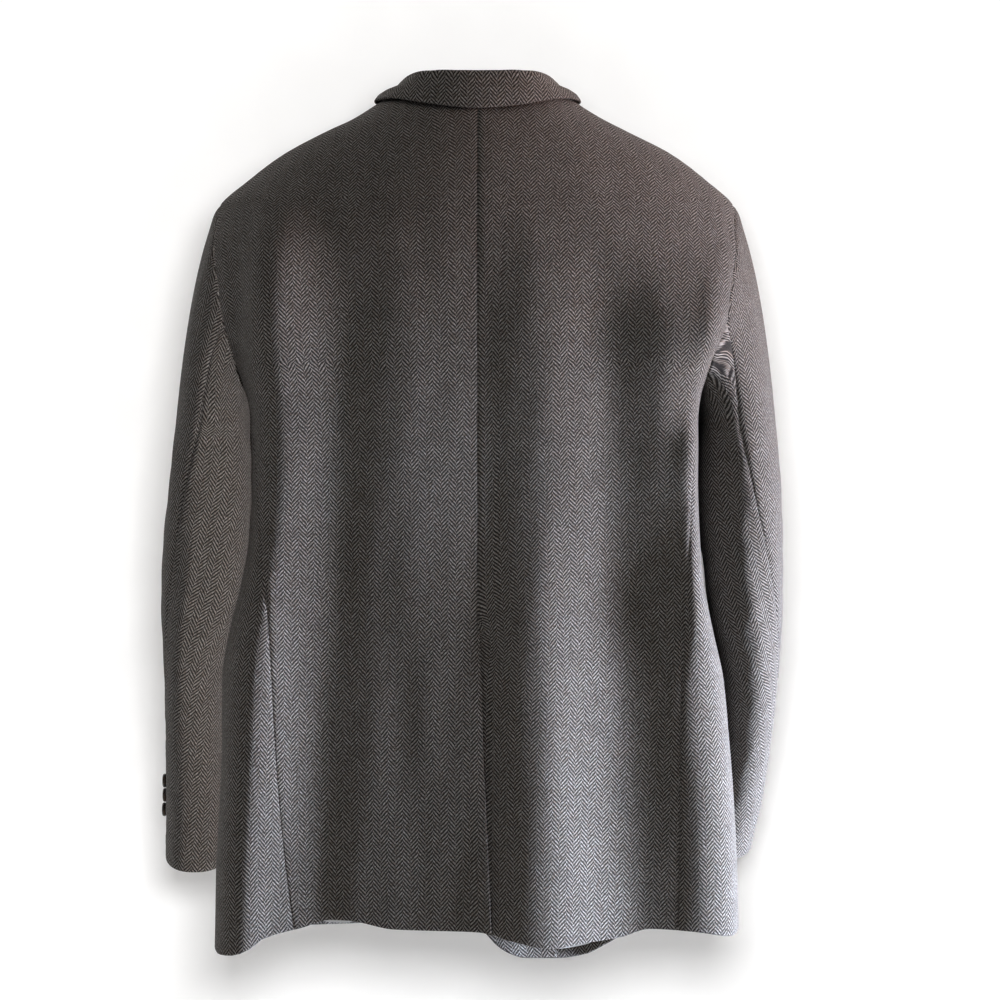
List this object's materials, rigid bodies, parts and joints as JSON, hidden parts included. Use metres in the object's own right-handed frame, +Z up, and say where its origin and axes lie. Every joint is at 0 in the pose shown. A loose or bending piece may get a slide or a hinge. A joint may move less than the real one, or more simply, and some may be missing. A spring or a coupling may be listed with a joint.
{
  "type": "tweed hacking jacket",
  "caption": "Hollow herringbone tweed hacking jacket, filled out as if worn, with a notched collar, slanted flap pockets, a centre vent and buttoned cuffs.",
  "frame": {"origin": "middle of the neck, level with the neck ends of the shoulder seams, where a wearer's neck and shoulders hold the jacket", "axes": "+Z up along the wearer's neck, +Y towards the fronts, -Y towards the back, +X towards the wearer's right"},
  "size_m": [0.6072, 0.2973, 0.8676],
  "materials": {
    "tweed": "woollen herringbone tweed, matt with a soft nap",
    "lining": "smooth silver-grey twill lining with a soft sheen",
    "button": "dark horn-like, softly polished"
  },
  "bodies": {
    "root": {"back_left": "tweed", "side_left": "tweed", "front_left": "tweed", "facing_left": "tweed", "lapel_left": "tweed", "top_sleeve_left": "tweed", "under_sleeve_left": "tweed", "flap_left": "tweed", "jet_left": "tweed", "back_lining_left": "lining", "side_lining_left": "lining", "front_lining_left": "lining", "cuff_button_left_1": "button", "cuff_button_left_2": "button", "cuff_button_left_3": "button", "back_right": "tweed", "side_right": "tweed", "front_right": "tweed", "facing_right": "tweed", "lapel_right": "tweed", "top_sleeve_right": "tweed", "under_sleeve_right": "tweed", "flap_right": "tweed", "jet_right": "tweed", "back_lining_right": "lining", "side_lining_right": "lining", "front_lining_right": "lining", "cuff_button_right_1": "button", "cuff_button_right_2": "button", "cuff_button_right_3": "button", "collar": "tweed", "front_button_1": "button", "front_button_2": "button", "front_button_3": "button"}
  },
  "joints": []
}
